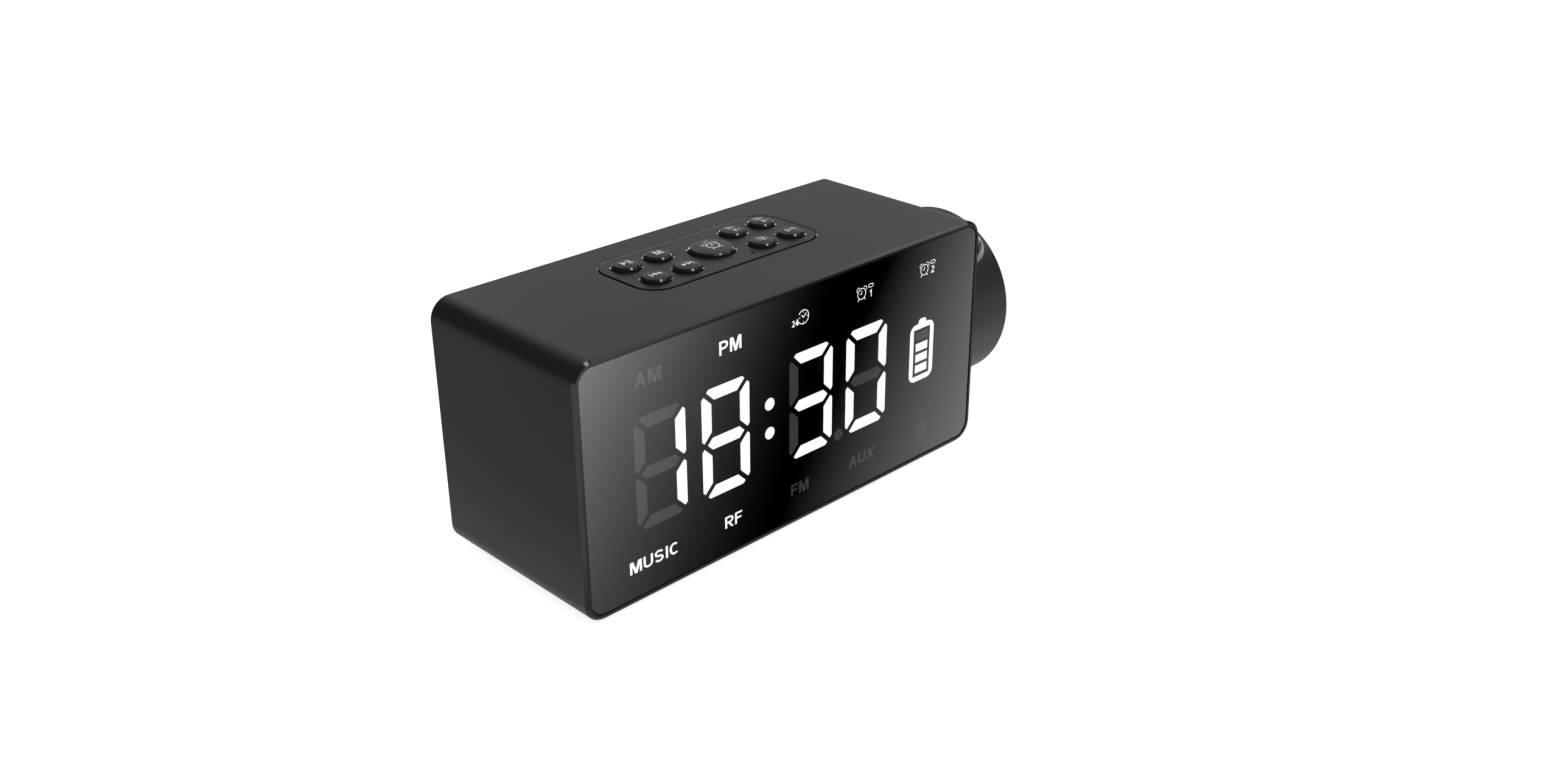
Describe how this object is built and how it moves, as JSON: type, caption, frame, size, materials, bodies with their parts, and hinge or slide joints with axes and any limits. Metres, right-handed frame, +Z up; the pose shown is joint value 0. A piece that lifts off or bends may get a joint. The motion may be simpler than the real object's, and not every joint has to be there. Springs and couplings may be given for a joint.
{
  "type": "projection alarm clock",
  "caption": "Box-shaped alarm clock with a smoked full-width display window, push buttons on top, rear loudspeakers and a turning projector drum on one side.",
  "frame": {"origin": "middle of the whole clock's footprint, projector drum included, on the surface that its feet stand on", "axes": "+X to the right, towards the projector drum; -Y towards the display window; +Z up"},
  "size_m": [0.1968, 0.0684, 0.0862],
  "materials": {
    "housing_abs": "satin moulded ABS",
    "drum_abs": "satin moulded ABS",
    "smoked_acrylic": "smoked cast acrylic, polished",
    "key_abs": "polished moulded ABS",
    "plunger_plastic": "moulded acetal",
    "switch_body": "moulded nylon",
    "mask_plastic": "moulded, light-tight",
    "lit_diffuser": "white diffuser, lit",
    "dim_diffuser": "white diffuser, unlit",
    "circuit_board": "glass fibre laminate with green solder mask",
    "chip_epoxy": "moulded epoxy",
    "led_package": "phosphor-coated package",
    "steel": "zinc plated",
    "socket_steel": "stamped, tinned",
    "socket_plastic": "moulded nylon",
    "magnet_ferrite": "sintered ferrite",
    "cone_paper": "pressed paper and rubber edge",
    "rubber": "moulded silicone",
    "cell_wrap": "shrink wrap over steel can",
    "lead_insulation": "PVC insulation",
    "ribbon_film": "flat flexible cable",
    "bright_ring": "turned and plated",
    "lens_glass": "polished",
    "image_film": "liquid crystal panel"
  },
  "bodies": {
    "case": {"housing": "housing_abs", "rear_cover": "housing_abs", "battery_holder": "housing_abs", "front_window": "smoked_acrylic", "key_switches": "switch_body", "display_mask": "mask_plastic", "lit_segments": "lit_diffuser", "dim_segments": "dim_diffuser", "display_board": "circuit_board", "key_board": "circuit_board", "main_board": "circuit_board", "board_components": "chip_epoxy", "display_leds": "led_package", "rear_cover_screws": "steel", "speaker_screws": "steel", "board_screws": "steel", "speaker_frames": "steel", "usb_socket": "socket_steel", "card_slot": "socket_steel", "audio_socket": "socket_plastic", "microphone": "socket_plastic", "speaker_magnets": "magnet_ferrite", "speaker_cones": "cone_paper", "rubber_feet": "rubber", "battery_cell": "cell_wrap", "wire_leads": "lead_insulation", "ribbon_cables": "ribbon_film"},
    "projector": {"projector_drum": "drum_abs", "projector_base": "drum_abs", "hub_retainer": "drum_abs", "wave_washer": "steel", "projector_screws": "steel", "lens_bezel": "bright_ring", "projector_lens": "lens_glass", "lens_barrel": "drum_abs", "condenser_lens": "lens_glass", "image_panel": "image_film", "projector_led": "led_package", "projector_board": "circuit_board", "projector_lead": "lead_insulation"},
    "play_button": {"play_key": "key_abs", "play_plunger": "plunger_plastic"},
    "mode_button": {"mode_key": "key_abs", "mode_plunger": "plunger_plastic"},
    "previous_button": {"previous_key": "key_abs", "previous_plunger": "plunger_plastic"},
    "next_button": {"next_key": "key_abs", "next_plunger": "plunger_plastic"},
    "volume_up_button": {"volume_up_key": "key_abs", "volume_up_plunger": "plunger_plastic"},
    "volume_down_button": {"volume_down_key": "key_abs", "volume_down_plunger": "plunger_plastic"},
    "light_button": {"light_key": "key_abs", "light_plunger": "plunger_plastic"},
    "link_button": {"link_key": "key_abs", "link_plunger": "plunger_plastic"},
    "snooze_button": {"snooze_key": "key_abs", "snooze_plunger": "plunger_plastic"}
  },
  "joints": [
    {"name": "projector_turn", "type": "hinge", "parent": "case", "child": "projector", "pos_m": [0.0877, 0, 0.043], "axis": [-1, 0, 0], "range_deg": [-55, 125]},
    {"name": "play_press", "type": "slide", "parent": "case", "child": "play_button", "axis": [0, 0, -1], "range_m": [0, 0.0006], "stiffness_N_per_m": 600, "springref_m": -0.0005},
    {"name": "mode_press", "type": "slide", "parent": "case", "child": "mode_button", "axis": [0, 0, -1], "range_m": [0, 0.0006], "stiffness_N_per_m": 600, "springref_m": -0.0005},
    {"name": "previous_press", "type": "slide", "parent": "case", "child": "previous_button", "axis": [0, 0, -1], "range_m": [0, 0.0006], "stiffness_N_per_m": 600, "springref_m": -0.0005},
    {"name": "next_press", "type": "slide", "parent": "case", "child": "next_button", "axis": [0, 0, -1], "range_m": [0, 0.0006], "stiffness_N_per_m": 600, "springref_m": -0.0005},
    {"name": "volume_up_press", "type": "slide", "parent": "case", "child": "volume_up_button", "axis": [0, 0, -1], "range_m": [0, 0.0006], "stiffness_N_per_m": 600, "springref_m": -0.0005},
    {"name": "volume_down_press", "type": "slide", "parent": "case", "child": "volume_down_button", "axis": [0, 0, -1], "range_m": [0, 0.0006], "stiffness_N_per_m": 600, "springref_m": -0.0005},
    {"name": "light_press", "type": "slide", "parent": "case", "child": "light_button", "axis": [0, 0, -1], "range_m": [0, 0.0006], "stiffness_N_per_m": 600, "springref_m": -0.0005},
    {"name": "link_press", "type": "slide", "parent": "case", "child": "link_button", "axis": [0, 0, -1], "range_m": [0, 0.0006], "stiffness_N_per_m": 600, "springref_m": -0.0005},
    {"name": "snooze_press", "type": "slide", "parent": "case", "child": "snooze_button", "axis": [0, 0, -1], "range_m": [0, 0.0006], "stiffness_N_per_m": 600, "springref_m": -0.0005}
  ]
}
